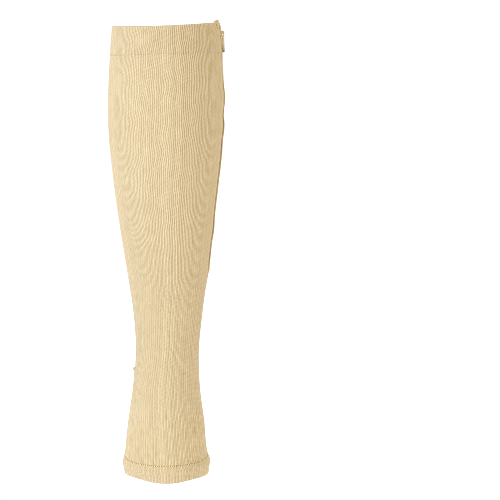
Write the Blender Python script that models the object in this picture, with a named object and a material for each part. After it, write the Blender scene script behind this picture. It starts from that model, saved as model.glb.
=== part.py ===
"""Open-toe knee-high compression stocking with a zip down its inner side.

The stocking stands filled out and hollow, as it is when worn. It is sewn from a ribbed leg tube, a
doubled top band and a doubled hem band. A coil zip closes a slit in the inner side (+X).
Frame: metres, +Z up the leg, shin towards -Y, origin at the centre of the top opening.
"""

import math
from collections import namedtuple

import bmesh
import bpy
from mathutils import Vector

MM = 0.001

# Half widths and depths of the leg, from its axis to the rib valleys, in millimetres.
Section = namedtuple("Section", "z zip_side outer_side shin calf")
SECTIONS = (
    Section(6.0, 50.0, 48.5, 45.7, 49.0),        # just above the top edge
    Section(-28.7, 52.3, 51.4, 49.0, 55.5),      # below the knee
    Section(-62.0, 53.6, 53.4, 50.2, 61.0),
    Section(-100.0, 52.8, 53.5, 49.8, 63.0),     # fullest part of the calf
    Section(-140.0, 49.3, 50.0, 47.4, 60.0),
    Section(-185.0, 44.1, 44.4, 43.5, 52.6),
    Section(-230.0, 39.2, 37.5, 39.0, 45.2),
    Section(-236.0, 38.4, 36.6, 38.4, 44.6),
    Section(-275.0, 33.2, 31.1, 34.8, 40.5),
    Section(-311.0, 29.8, 29.4, 32.6, 38.6),     # ankle
    Section(-350.0, 31.1, 33.2, 36.0, 40.2),
    Section(-406.0, 37.1, 40.4, 43.7, 45.8),     # instep
    Section(-412.4, 38.2, 41.0, 44.6, 46.3),     # the hem seam
    Section(-432.0, 38.8, 41.3, 45.4, 47.2),
)

# Seams, in millimetres. The top edge and the seam under it rise towards the zip.
SEAM_GAP = 0.3
TOP_EDGE_Z = 0.0
TOP_EDGE_RISE = 0.036
BAND_SEAM_Z = -28.7
BAND_SEAM_RISE = 0.049
HEM_SEAM_Z = -412.4
HEM_EDGE_Z = -428.6

# Knit, in millimetres
RIB_COUNT = 196
RIB_HEIGHT = 0.35
INNER_COLUMNS = 40
KNIT_WALL = 1.2
BAND_PROUD = 0.5
TOP_FOLD_DROP = 1.0
TOP_FOLD_INSET = 0.9

# One row for each ring of the hem band: its height, and its outer and inner faces.
HemRing = namedtuple("HemRing", "z proud inner")
HEM_RINGS = (
    HemRing(HEM_SEAM_Z - SEAM_GAP / 2, 0.7, -KNIT_WALL),
    HemRing(-420.0, 1.7, -KNIT_WALL),
    HemRing(-427.0, 1.2, -KNIT_WALL),
)
HEM_FOLD_PROUD = -0.1

# Zip, in millimetres. Offsets are measured outwards from the rib valleys.
SLIT_HALF_WIDTH = 3.2
SLIT_TOP_FLARE = 1.0
SLIT_END_Z = -236.0
SLIT_REACH = 0.35    # radians over which the ribs beside the slit close up
TAPE_OUTER = -1.65
TAPE_THICKNESS = 1.0
TAPE_WIDTH = 13.0
TAPE_BEND_AT = 7.5
CHAIN_TOP = 1.05
CHAIN_HALF_WIDTH = 2.5
CHAIN_NONE = TAPE_OUTER + 0.1
CHAIN_END_Z = -229.0
TAPE_CLOSED = SEAM_GAP / 2
TAPE_CLOSED_Z = -12.0

# One row for each ring of a zip tape: height at the chain, height at the tape's outer edge, the
# distance from the zip's centre line, and the offset of the chain's outer face.
TapeRing = namedtuple("TapeRing", "z edge_z parting chain")
TAPE_RINGS = (
    TapeRing(5.0, 1.6, 1.0, CHAIN_NONE),         # the tape's free end above the top edge
    TapeRing(-2.2, -2.2, 0.9, CHAIN_NONE),
    TapeRing(-3.0, -3.0, 0.9, CHAIN_TOP),        # the chain begins
    TapeRing(-8.7, -8.7, 0.9, CHAIN_TOP),
    TapeRing(TAPE_CLOSED_Z, TAPE_CLOSED_Z, TAPE_CLOSED, CHAIN_TOP),
    *(TapeRing(row.z, row.z, TAPE_CLOSED, CHAIN_TOP)
      for row in SECTIONS if CHAIN_END_Z < row.z < TAPE_CLOSED_Z),
    TapeRing(CHAIN_END_Z, CHAIN_END_Z, TAPE_CLOSED, CHAIN_TOP),
    TapeRing(-230.0, -230.0, TAPE_CLOSED, CHAIN_NONE),
    TapeRing(SLIT_END_Z, SLIT_END_Z, TAPE_CLOSED, CHAIN_NONE),
    TapeRing(-247.0, -247.0, TAPE_CLOSED, CHAIN_NONE),
)

# Slider and pull tab, in millimetres. The tab's top bar turns inside the slider's bail.
PULL_AXIS_X = 54.1
PULL_AXIS_Z = -9.7
PLATE_INNER = 1.35
PLATE_THICKNESS = 0.75
BACK_PLATE_OUTER = -3.15
BACK_PLATE_THICKNESS = 0.8
POST_HALF_WIDTH = 0.55
POST_BOTTOM = 1.6
POST_TOP = 3.9
BAIL_HALF_WIDTH = 0.8
BAIL_HALF_LENGTH = 3.1
BAIL_WINDOW_HALF_LENGTH = 1.0
BAIL_ROOF_CLEARANCE = 0.75
BAIL_ROOF_THICKNESS = 0.7
SLIDER_OUTLINE = ((2.3, 4.2), (3.6, 2.8), (3.6, 0.4), (2.9, -3.5), (2.0, -4.3))
TAB_LENGTH = 17.0
TAB_BAR_HALF = 0.4
TAB_END_INNER = 0.55
TAB_END_OUTER = 1.6
TAB_TOP_HALF_WIDTH = 2.0
TAB_WIDE_HALF_WIDTH = 2.6
TAB_WINDOW_HALF_WIDTH = 1.15
TAB_WINDOW_END = -3.8
TAB_END_CORNER = 1.6


def clear_scene():
    """Remove what a new file holds."""
    for thing in list(bpy.data.objects):
        bpy.data.objects.remove(thing, do_unlink=True)


def material(name, colour, roughness, metallic=0.0):
    """A plain Principled material."""
    made = bpy.data.materials.new(name)
    made.use_nodes = True
    shader = made.node_tree.nodes["Principled BSDF"]
    shader.inputs["Base Color"].default_value = (*colour, 1.0)
    shader.inputs["Roughness"].default_value = roughness
    shader.inputs["Metallic"].default_value = metallic
    return made


def add_object(name, bm, surface):
    """Turn a bmesh into a named object whose faces point out."""
    bmesh.ops.recalc_face_normals(bm, faces=bm.faces)
    mesh = bpy.data.meshes.new(name)
    bm.to_mesh(mesh)
    bm.free()
    mesh.materials.append(surface)
    made = bpy.data.objects.new(name, mesh)
    bpy.context.collection.objects.link(made)
    return made


# ---- The leg's surface ----

def section_at(z):
    """The leg's section at a height, straight between the rows of SECTIONS."""
    rows = zip(SECTIONS, SECTIONS[1:])
    upper, lower = next((pair for pair in rows if z >= pair[1].z), SECTIONS[-2:])
    share = (upper.z - z) / (upper.z - lower.z)
    return Section(*(a + (b - a) * share for a, b in zip(upper, lower)))


def wall_point(angle, z, offset):
    """A point of the leg at an angle from the zip, moved outwards by an offset, in millimetres."""
    section = section_at(z)
    cosine = math.cos(angle)
    sine = math.sin(angle)
    width = section.zip_side if cosine > 0 else section.outer_side
    depth = section.calf if sine > 0 else section.shin
    normal = Vector((cosine / width, sine / depth)).normalized()
    return Vector((width * cosine + offset * normal.x, depth * sine + offset * normal.y, z))


def angle_at(y, z):
    """The angle from the zip at which the leg's wall has the given y."""
    section = section_at(z)
    return math.asin(y / (section.calf if y > 0 else section.shin))


def column_angles(z, columns):
    """The angles of the wall's columns, pushed aside near the slit so that the end ones are its lips."""
    half_width = SLIT_HALF_WIDTH + SLIT_TOP_FLARE * max(0.0, 1.0 - z / BAND_SEAM_Z)
    lips = (0.0, 0.0) if z <= SLIT_END_Z else (angle_at(half_width, z), -angle_at(-half_width, z))
    angles = []
    for column in range(columns + 1):
        even = math.tau * column / columns
        push = lips[0] * math.exp(-even / SLIT_REACH) - lips[1] * math.exp((even - math.tau) / SLIT_REACH)
        angles.append(even + push)
    return angles


def wall_ring(bm, z, rise, offset, columns, rib_height):
    """Vertices round the leg, every second one raised by the rib height, on a plane that rises to +X."""
    ring = []
    for column, angle in enumerate(column_angles(z, columns)):
        level = z + rise * wall_point(angle, z, 0.0).x
        raised = offset + (rib_height if column % 2 else 0.0)
        ring.append(bm.verts.new(wall_point(angle, level, raised) * MM))
    if z <= SLIT_END_Z:
        bm.verts.remove(ring[-1])
        ring[-1] = ring[0]
    return ring


def skin(bm, ring_a, ring_b):
    """Quads between two rings with the same number of vertices."""
    for k in range(len(ring_a) - 1):
        corners = (ring_a[k], ring_a[k + 1], ring_b[k + 1], ring_b[k])
        bm.faces.new(dict.fromkeys(corners))


def ladder(bm, ring_a, ring_b):
    """Triangles between two rings with different numbers of vertices."""
    last_a = len(ring_a) - 1
    last_b = len(ring_b) - 1
    a = b = 0
    while a < last_a or b < last_b:
        if b == last_b or (a < last_a and (a + 1) * last_b <= (b + 1) * last_a):
            bm.faces.new((ring_a[a], ring_a[a + 1], ring_b[b]))
            a += 1
        else:
            bm.faces.new((ring_a[a], ring_b[b + 1], ring_b[b]))
            b += 1


def close_lips(bm, outer, inner):
    """Close the cut edges of the wall at both lips of the slit."""
    for k in range(len(outer) - 1):
        if outer[k][0] is outer[k][-1]:
            return
        for end in (0, -1):
            corners = (outer[k][end], outer[k + 1][end], inner[k + 1][end], inner[k][end])
            bm.faces.new(dict.fromkeys(corners))


def cloth_wall(name, rings, fold, surface):
    """A wall of cloth round the leg, ribbed outside and plain inside.

    rings holds (z, rise, outer offset, inner offset) from one end of the wall to the other. fold is
    None, or the (z, rise, offset) of a plain ring that rounds the folded edge beyond the last ring.
    """
    bm = bmesh.new()
    outer = [wall_ring(bm, z, rise, out, 2 * RIB_COUNT, RIB_HEIGHT) for z, rise, out, _ in rings]
    inner = [wall_ring(bm, z, rise, inside, INNER_COLUMNS, 0.0) for z, rise, _, inside in rings]
    for k in range(len(rings) - 1):
        skin(bm, outer[k], outer[k + 1])
        skin(bm, inner[k], inner[k + 1])
    ladder(bm, outer[0], inner[0])
    if fold:
        edge = wall_ring(bm, *fold, INNER_COLUMNS, 0.0)
        ladder(bm, outer[-1], edge)
        skin(bm, edge, inner[-1])
        close_lips(bm, [outer[-1], edge], [inner[-1], edge])
    else:
        ladder(bm, outer[-1], inner[-1])
    close_lips(bm, outer, inner)
    return add_object(name, bm, surface)


# ---- Cloth pieces ----

def make_leg_tube(surface):
    """The knitted leg: one ribbed tube from the band's seam to the hem's seam."""
    gap = SEAM_GAP / 2
    rings = [(BAND_SEAM_Z - gap, BAND_SEAM_RISE, 0.0, -KNIT_WALL)]
    rings += [(row.z, 0.0, 0.0, -KNIT_WALL) for row in SECTIONS if HEM_SEAM_Z < row.z < BAND_SEAM_Z]
    rings.append((HEM_SEAM_Z + gap, 0.0, 0.0, -KNIT_WALL))
    return cloth_wall("leg_tube", rings, None, surface)


def make_top_band(surface):
    """The doubled band round the top opening, folded over at its upper edge."""
    seam = (BAND_SEAM_Z + SEAM_GAP / 2, BAND_SEAM_RISE, BAND_PROUD, -KNIT_WALL)
    shoulder = (TOP_EDGE_Z - TOP_FOLD_DROP, TOP_EDGE_RISE, BAND_PROUD, -KNIT_WALL)
    fold = (TOP_EDGE_Z, TOP_EDGE_RISE, BAND_PROUD - TOP_FOLD_INSET)
    return cloth_wall("top_band", [seam, shoulder], fold, surface)


def make_hem_band(surface):
    """The doubled hem round the open toe end, which stands a little proud of the leg."""
    rings = [(row.z, 0.0, row.proud, row.inner) for row in HEM_RINGS]
    return cloth_wall("hem_band", rings, (HEM_EDGE_Z, 0.0, HEM_FOLD_PROUD), surface)


def make_zip_tape(name, side, surface):
    """One woven zip tape with its row of chain, inside the slit's lip. side is -1 shin, +1 calf."""
    bm = bmesh.new()
    rings = []
    for row in TAPE_RINGS:
        back = TAPE_OUTER - TAPE_THICKNESS
        profile = (
            (row.parting, row.z, row.chain),
            (row.parting + CHAIN_HALF_WIDTH, row.z, row.chain),
            (row.parting + CHAIN_HALF_WIDTH, row.z, TAPE_OUTER),
            (TAPE_BEND_AT, (row.z + row.edge_z) / 2, TAPE_OUTER),
            (TAPE_WIDTH, row.edge_z, TAPE_OUTER),
            (TAPE_WIDTH, row.edge_z, back),
            (TAPE_BEND_AT, (row.z + row.edge_z) / 2, back),
            (row.parting, row.z, back),
        )
        rings.append([bm.verts.new(wall_point(angle_at(side * y, z), z, offset) * MM)
                      for y, z, offset in profile])
    for ring_a, ring_b in zip(rings, rings[1:]):
        skin(bm, [*ring_a, ring_a[0]], [*ring_b, ring_b[0]])
    bm.faces.new(rings[0])
    bm.faces.new(rings[-1])
    bmesh.ops.triangulate(bm, faces=bm.faces)
    return add_object(name, bm, surface)


# ---- Slider and pull tab ----

def prism(outline, low, high, axis):
    """A bmesh prism: an outline of (u, v) pairs in millimetres, carried along axis x or y."""
    bm = bmesh.new()
    if axis == "x":
        points = [Vector((low, u, v)) for u, v in outline]
        travel = Vector((high - low, 0.0, 0.0))
    else:
        points = [Vector((u, low, v)) for u, v in outline]
        travel = Vector((0.0, high - low, 0.0))
    face = bm.faces.new([bm.verts.new(point * MM) for point in points])
    moved = bmesh.ops.extrude_face_region(bm, geom=[face])["geom"]
    bmesh.ops.translate(bm, vec=travel * MM, verts=[v for v in moved if isinstance(v, bmesh.types.BMVert)])
    return bm


def mirrored(half_outline):
    """A closed outline from its right half, listed from the top down."""
    return [*half_outline, *((-u, v) for u, v in reversed(half_outline))]


def box_outline(low_u, high_u, low_v, high_v):
    """The four corners of a rectangle."""
    return [(low_u, low_v), (high_u, low_v), (high_u, high_v), (low_u, high_v)]


def combine(target, other, operation):
    """Join or cut a hidden object into the target with a Boolean modifier."""
    other.hide_render = True
    other.display_type = "WIRE"
    other.parent = target
    modifier = target.modifiers.new(operation.title(), "BOOLEAN")
    modifier.operation = operation
    modifier.solver = "EXACT"
    modifier.object = other


def zip_slope():
    """The lean of the zip at the slider, about +Y."""
    upper, lower = SECTIONS[0], SECTIONS[1]
    return -math.atan2(lower.zip_side - upper.zip_side, upper.z - lower.z)


def make_slider(surface):
    """The slider: a front and a back plate, the post that parts the chain, and the bail."""
    bail_axis = PULL_AXIS_X - section_at(PULL_AXIS_Z).zip_side
    roof = bail_axis + BAIL_ROOF_CLEARANCE
    foot = PLATE_INNER + PLATE_THICKNESS / 2
    crown = roof + BAIL_ROOF_THICKNESS
    window = BAIL_WINDOW_HALF_LENGTH
    crown_half = BAIL_HALF_LENGTH - BAIL_ROOF_THICKNESS
    bail_outline = [
        (foot, BAIL_HALF_LENGTH), (roof, BAIL_HALF_LENGTH), (crown, crown_half),
        (crown, -crown_half), (roof, -BAIL_HALF_LENGTH), (foot, -BAIL_HALF_LENGTH),
        (foot, -window), (roof, -window), (roof, window), (foot, window),
    ]
    back_inner = BACK_PLATE_OUTER - BACK_PLATE_THICKNESS
    post_outline = box_outline(-POST_HALF_WIDTH, POST_HALF_WIDTH, POST_BOTTOM, POST_TOP)
    plate_outline = mirrored(SLIDER_OUTLINE)
    slider = add_object("zip_slider", prism(plate_outline, PLATE_INNER, PLATE_INNER + PLATE_THICKNESS, "x"),
                        surface)
    back_plate = add_object("slider_back_plate", prism(plate_outline, back_inner, BACK_PLATE_OUTER, "x"),
                            surface)
    post = add_object("slider_post", prism(post_outline, BACK_PLATE_OUTER - BACK_PLATE_THICKNESS / 2,
                                           PLATE_INNER + PLATE_THICKNESS / 2, "x"), surface)
    bail = add_object("slider_bail", prism(bail_outline, -BAIL_HALF_WIDTH, BAIL_HALF_WIDTH, "y"), surface)
    for piece in (post, back_plate, bail):
        combine(slider, piece, "UNION")
    slider.location = (section_at(PULL_AXIS_Z).zip_side * MM, 0.0, PULL_AXIS_Z * MM)
    slider.rotation_euler = (0.0, zip_slope(), 0.0)
    return slider


def make_pull_tab(surface):
    """The pull tab, which hangs from its top bar on the joint's axis and thickens towards its end."""
    half = (
        (TAB_TOP_HALF_WIDTH, TAB_BAR_HALF),
        (TAB_TOP_HALF_WIDTH, TAB_WINDOW_END),
        (TAB_WIDE_HALF_WIDTH, -TAB_LENGTH + 3 * TAB_END_CORNER),
        (TAB_WIDE_HALF_WIDTH, -TAB_LENGTH + TAB_END_CORNER),
        (TAB_WIDE_HALF_WIDTH - TAB_END_CORNER / 2, -TAB_LENGTH + TAB_END_CORNER / 3),
        (TAB_WIDE_HALF_WIDTH - TAB_END_CORNER, -TAB_LENGTH),
    )
    bm = prism(mirrored(half), -TAB_END_INNER, TAB_END_OUTER, "x")
    for vert in bm.verts:
        share = (TAB_BAR_HALF * MM - vert.co.z) / ((TAB_BAR_HALF + TAB_LENGTH) * MM)
        end = TAB_END_OUTER if vert.co.x > 0 else TAB_END_INNER
        vert.co.x *= share**2 + (1.0 - share**2) * TAB_BAR_HALF / end
    tab = add_object("zip_pull", bm, surface)
    window = add_object("pull_window", prism(
        box_outline(-TAB_WINDOW_HALF_WIDTH, TAB_WINDOW_HALF_WIDTH, TAB_WINDOW_END, -TAB_BAR_HALF),
        -TAB_END_OUTER, TAB_END_OUTER, "x"), surface)
    combine(tab, window, "DIFFERENCE")
    tab.location = (PULL_AXIS_X * MM, 0.0, PULL_AXIS_Z * MM)
    return tab


clear_scene()
make_leg_tube(material("rib_knit", (0.72, 0.56, 0.36), 0.9))
make_top_band(material("band_knit", (0.74, 0.58, 0.38), 0.9))
make_hem_band(material("hem_knit", (0.76, 0.60, 0.40), 0.9))
make_zip_tape("zip_tape_front", -1, material("tape_front", (0.55, 0.40, 0.22), 0.8))
make_zip_tape("zip_tape_back", 1, material("tape_back", (0.52, 0.38, 0.21), 0.8))
make_slider(material("slider_enamel", (0.62, 0.47, 0.29), 0.35, 0.3))
make_pull_tab(material("pull_enamel", (0.48, 0.32, 0.15), 0.35, 0.3))
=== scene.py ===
"""Compression stocking, open at the toe, with a zip down its inner side, filled out as it is worn.

Everything is in metres in the part's own frame: +Z up the leg, shin towards -Y, zip on +X, and the
origin at the centre of the top opening. Sizes are named in millimetres and turned into metres by MM.
"""

import bmesh
import bpy
import numpy as np
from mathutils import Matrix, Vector


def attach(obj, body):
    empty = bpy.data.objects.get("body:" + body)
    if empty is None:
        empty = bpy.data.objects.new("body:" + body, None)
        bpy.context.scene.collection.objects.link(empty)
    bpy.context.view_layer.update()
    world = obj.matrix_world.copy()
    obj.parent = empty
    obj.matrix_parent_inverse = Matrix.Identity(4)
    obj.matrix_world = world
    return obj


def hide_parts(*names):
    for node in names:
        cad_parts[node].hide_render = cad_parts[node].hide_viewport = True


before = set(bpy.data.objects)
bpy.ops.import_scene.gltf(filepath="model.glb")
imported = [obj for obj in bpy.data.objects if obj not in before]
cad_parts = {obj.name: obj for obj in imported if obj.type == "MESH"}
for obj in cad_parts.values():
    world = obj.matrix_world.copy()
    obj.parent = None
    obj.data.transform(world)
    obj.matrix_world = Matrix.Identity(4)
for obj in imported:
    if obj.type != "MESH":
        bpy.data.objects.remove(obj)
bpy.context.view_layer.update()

MM = 0.001

# ---- Ribbed leg tube ----
# The leg is one tube knitted in 196 upright ribs of beige elastic yarn, and shaped to a calf and an
# ankle. A slit down its inner side takes the zip, and the cloth is folded into a soft lip along it.

# Height, then the half widths on the zip side and the outer side, and the half depths at shin and calf
LEG_ROWS = np.array((
    (6.0, 50.0, 48.5, 45.7, 49.0),
    (-28.7, 52.3, 51.4, 49.0, 55.5),
    (-62.0, 53.6, 53.4, 50.2, 61.0),
    (-100.0, 52.8, 53.5, 49.8, 63.0),
    (-140.0, 49.3, 50.0, 47.4, 60.0),
    (-185.0, 44.1, 44.4, 43.5, 52.6),
    (-230.0, 39.2, 37.5, 39.0, 45.2),
    (-275.0, 33.2, 31.1, 34.8, 40.5),
    (-311.0, 29.8, 29.4, 32.6, 38.6),
    (-350.0, 31.1, 33.2, 36.0, 40.2),
    (-379.0, 34.8, 37.4, 40.2, 43.1),
    (-406.0, 37.1, 40.4, 43.7, 45.8),
    (-412.4, 38.2, 41.0, 44.6, 46.3),
    (-432.0, 38.8, 41.3, 45.4, 47.2),
))
CALF_Z, CALF_WIDTH = LEG_ROWS[2, :2]
FOOT_Z = LEG_ROWS[-1, 0]
# Soft buckles that the stiff zip makes in the cloth: height, push outwards, half length
ZIP_BUCKLES = np.array((
    (-20.0, 0.4, 9.0), (-68.0, 1.1, 9.0), (-84.0, -0.3, 5.0), (-96.0, 0.9, 10.0), (-122.0, 0.5, 8.0),
    (-136.0, 0.3, 6.0), (-193.0, 0.8, 9.0), (-238.0, 0.6, 10.0),
))
BUCKLE_REACH = 0.3      # radians round the leg from the zip
CREASE_Z = -327.2       # small sharp crease on the outer side, above the ankle's hollow
CREASE_PUSH = 2.1
CREASE_FADE_UP = 0.5
CREASE_FADE_DOWN = 3.2
CREASE_REACH = 0.22
BAND_SEAM_Z = -27.6
BAND_SEAM_RISE = 0.03   # for each millimetre towards the zip
BAND_SEAM_BOW = 0.9     # upwards at its middle
HEM_SEAM_Z = -412.4
SEAM_HALF_GAP = 0.012
# How the worn cloth spreads its ribs: height, then how much wider apart they are over the whole front,
# on the zip's side of it, and over the shin, and the shin's angle from the front towards the zip
RIB_SPREAD = np.array((
    (0.0, 0.09, 0.0, 0.06, 0.0),
    (-96.0, 0.09, 0.0, 0.06, 0.0),
    (-120.0, 0.06, 0.04, 0.10, 0.05),
    (-151.0, 0.05, 0.048, 0.13, 0.12),
    (-180.0, 0.05, 0.048, 0.14, 0.20),
    (-208.0, 0.03, 0.06, 0.06, 0.26),
    (-246.0, 0.04, 0.06, 0.02, 0.26),
    (-303.0, 0.13, 0.05, 0.02, 0.10),
    (-341.0, 0.17, 0.10, 0.05, 0.12),
    (-360.0, 0.155, 0.11, 0.04, 0.12),
    (-378.0, 0.13, 0.115, 0.02, 0.12),
    (-396.0, 0.105, 0.12, 0.01, 0.12),
    (-430.0, 0.08, 0.12, 0.0, 0.12),
))
SHIN_REACH = 0.3        # radians
# The ribs wander a little: height of one wave, waves round the leg, and how far as a share of a rib
RIB_WANDER = ((34.0, 5, 0.36), (-27.0, 8, 0.3), (19.0, -13, 0.2), (-61.0, 3, 0.36))
WANDER_FADE = ((-110.0, -230.0), (1.0, 0.3))    # from full to this share, between these heights
FRONT_ANGLE = 1.5 * np.pi
DENSITY_STEPS = 360     # in which the spread of the ribs is summed round the leg
SLIT_END_Z = -236.0
SLIT_HALF_WIDTH = 3.2
SLIT_TOP_FLARE = 1.0
SLIT_TAPER = 2.6
SLIT_REACH = 0.35       # radians over which the ribs beside the slit close up
SLIT_END_REACH = 0.16   # the same, for the part of it that ends with the slit
SLIT_EASE = 30.0        # height over which the rest of it eases away above the slit's end
RIBS = 196
POINTS_PER_RIB = 4
RIB_TOP = 0.4
RIB_FOOT = -0.1
RIB_ROUNDNESS = 2.2
KNIT_WALL = 1.2
LIP_WIDTH = 2.4
# How far the lips of the slit stand out at each height
LIP_ROLL = np.array((
    (6.0, 0.3), (0.0, 0.4), (-2.5, 1.0), (-5.0, 1.5), (-12.0, 1.3), (-15.0, 1.6), (-19.0, 1.5),
    (-21.5, 0.85), (-24.5, 0.85), (-27.0, 1.2), (-34.0, 1.1), (-44.0, 0.9), (-52.0, 0.6), (-64.0, 0.35),
    (-74.0, 0.8), (-79.0, 0.75), (-86.0, 0.1), (-100.0, 0.0), (-112.0, -0.3), (-236.0, -0.3),
))
LIP_NOSE = ((0.32, -0.15), (0.45, -0.6), (0.32, -1.1))    # how far past the lip, and offset
EDGE_RADIUS = 0.06      # a cut edge rounds over by this, with rows at these distances from it
EDGE_ROWS = np.array((0.0, 0.03, 0.1, 0.5))
COURSE = 1.2            # height of one row of knitted loops
COURSES_PER_TURN = 45   # the rows of loops climb by this many in each turn round the leg
# The leg's rows lie at even steps, and closer round the slit's end, in tapers of it, and the crease
LEG_ROW_STEP = 4.8
SLIT_END_ROWS = np.array((1.3, 0.75, 0.4, 0.15, 0.0))
CREASE_ROWS = np.array((1.6, 0.8, 0.3, 0.0, -0.8, -2.0, -3.8, -6.5))
BELOW_CREASE = 2.2      # steps from the crease to the first even row below it
LAST_ROW_GAP = 2.0      # least height of the last even row above the leg's foot
LIFT_REACH = 50.0
LIFT_WAVES = 4
# Share of the way up the leg, then how far the ribs draw together there
ANKLE_KNIT = ((0.0, 0.45), (0.17, 0.5), (0.27, 1.0), (0.36, 1.0), (0.45, 0.3), (0.55, 0.0))
ANKLE_FLAT = 0.35       # how much of the ribs' depth is lost where they draw together fully


def leg_sizes(z):
    """Four half sizes of the leg at heights z: a cubic through each column of LEG_ROWS, whose slope at
    each row is the slope of the parabola through it and its neighbours."""
    down = -LEG_ROWS[:, 0]
    sizes = LEG_ROWS[:, 1:]
    slopes = np.gradient(sizes, down, axis=0)
    z = np.asarray(z, float)
    k = np.clip(np.searchsorted(down, -z) - 1, 0, len(down) - 2)
    span = (down[k + 1] - down[k])[..., None]
    t = (-z[..., None] - down[k][..., None]) / span
    start = (2 * t**3 - 3 * t**2 + 1) * sizes[k] + (t**3 - 2 * t**2 + t) * span * slopes[k]
    return start + (3 * t**2 - 2 * t**3) * sizes[k + 1] + (t**3 - t**2) * span * slopes[k + 1]


def worn_marks(angle, z):
    """Millimetres that the cloth stands out from the plain leg. Each buckle is a bell along the zip
    times a bell round the leg; the crease rises at once and fades downwards."""
    turn = np.angle(np.exp(1j * angle))
    near_zip = np.exp(-(turn / BUCKLE_REACH) ** 2)
    buckles = sum(push * np.exp(-((z - at) / reach) ** 2) for at, push, reach in ZIP_BUCKLES)
    below = CREASE_Z - z
    fade = np.exp(-np.where(below > 0, below / CREASE_FADE_DOWN, (below / CREASE_FADE_UP) ** 2))
    outer_turn = np.angle(np.exp(1j * (angle - np.pi)))
    return buckles * near_zip + CREASE_PUSH * fade * np.exp(-(outer_turn / CREASE_REACH) ** 2)


def leg_point(angle, z, offset):
    """Points of the leg in metres, offset millimetres out from the foot of the ribs.

    x = width cos(angle) and y = depth sin(angle), moved along (cos / width, sin / depth)."""
    angle, z, offset = np.broadcast_arrays(angle, z, offset)
    zip_side, outer_side, shin, calf = np.moveaxis(leg_sizes(z), -1, 0)
    across = np.cos(angle)
    along = np.sin(angle)
    width = np.where(across > 0, zip_side, outer_side)
    depth = np.where(along > 0, calf, shin)
    normal = np.stack((across / width, along / depth), -1)
    normal /= np.linalg.norm(normal, axis=-1, keepdims=True)
    out = (offset + worn_marks(angle, z))[..., None] * normal
    return np.stack((width * across + out[..., 0], depth * along + out[..., 1], z), -1) * MM


def slit_half_width(z):
    """Half the slit's width: it flares to the top edge and closes in a half circle at its lower end."""
    z = np.asarray(z, float)
    closing = np.clip((z - SLIT_END_Z) / SLIT_TAPER, 0.0, 1.0)
    flare = SLIT_TOP_FLARE * np.maximum(0.0, 1.0 - z / BAND_SEAM_Z)
    return (SLIT_HALF_WIDTH + flare) * np.sqrt(1.0 - (1.0 - closing) ** 2)


def angle_at(y, z):
    """The angle from the zip at which the leg's wall has the given y: asin(y / depth)."""
    _, _, shin, calf = np.moveaxis(leg_sizes(z), -1, 0)
    return np.arcsin(y / np.where(np.asarray(y) > 0, calf, shin))


def column_angles(z, columns):
    """Angles of the wall's columns at each height. The ribs' density round the leg is
    1 - front cos - side sin - shin exp(-(turn - place)^2 / reach^2), where turn is the angle from the
    front; its running sum gives each column's angle. Those beside the slit are pushed aside by
    exp(-distance / reach), so that the first and last are the slit's lips. RIB_WANDER's waves move
    each column by reach sin(2 pi z / wave + turns angle) of a rib, times sin(angle)^2 and a fade."""
    grid = np.linspace(0.0, 2 * np.pi, DENSITY_STEPS + 1)
    turn = grid - FRONT_ANGLE
    front, side, shin, place = (np.interp(-z, -RIB_SPREAD[:, 0], column)[:, None]
                                for column in RIB_SPREAD.T[1:])
    over_shin = np.exp(-((turn - place) / SHIN_REACH) ** 2)
    density = 1.0 - front * np.cos(turn) - side * np.sin(turn) - shin * over_shin
    passed = np.cumsum((density[:, 1:] + density[:, :-1]) / 2, axis=1)
    passed = np.concatenate((np.zeros((len(z), 1)), passed), 1) / passed[:, -1:]
    share = np.linspace(0.0, 1.0, columns + 1)
    even = np.stack([np.interp(share, row, grid) for row in passed])
    wander = sum(reach * np.sin(2 * np.pi * z[:, None] / wave + turns * even)
                 for wave, turns, reach in RIB_WANDER)
    fade = np.interp(-z, -np.array(WANDER_FADE[0]), WANDER_FADE[1])[:, None]
    even = even + wander * fade * np.sin(even) ** 2 * 2 * np.pi / RIBS
    half = slit_half_width(z)
    eased = np.clip((z - SLIT_END_Z) / SLIT_EASE, 0.0, 1.0)[:, None]
    first, last = angle_at(half, z)[:, None], angle_at(-half, z)[:, None]
    even = even + (1.0 - eased) * (first * np.exp(-even / SLIT_END_REACH)
                                   + last * np.exp((even - 2 * np.pi) / SLIT_END_REACH))
    return even + eased * (first * np.exp(-even / SLIT_REACH)
                           + last * np.exp((even - 2 * np.pi) / SLIT_REACH))


def lip_roll(z):
    """How far the lips stand out at heights z, by straight steps between the rows of LIP_ROLL."""
    return np.interp(-z, -LIP_ROLL[:, 0], LIP_ROLL[:, 1])


def grid_faces(ids):
    """Quads between the neighbours of a grid of point numbers."""
    return np.stack((ids[:-1, :-1], ids[:-1, 1:], ids[1:, 1:], ids[1:, :-1]), -1).reshape(-1, 4)


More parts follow.
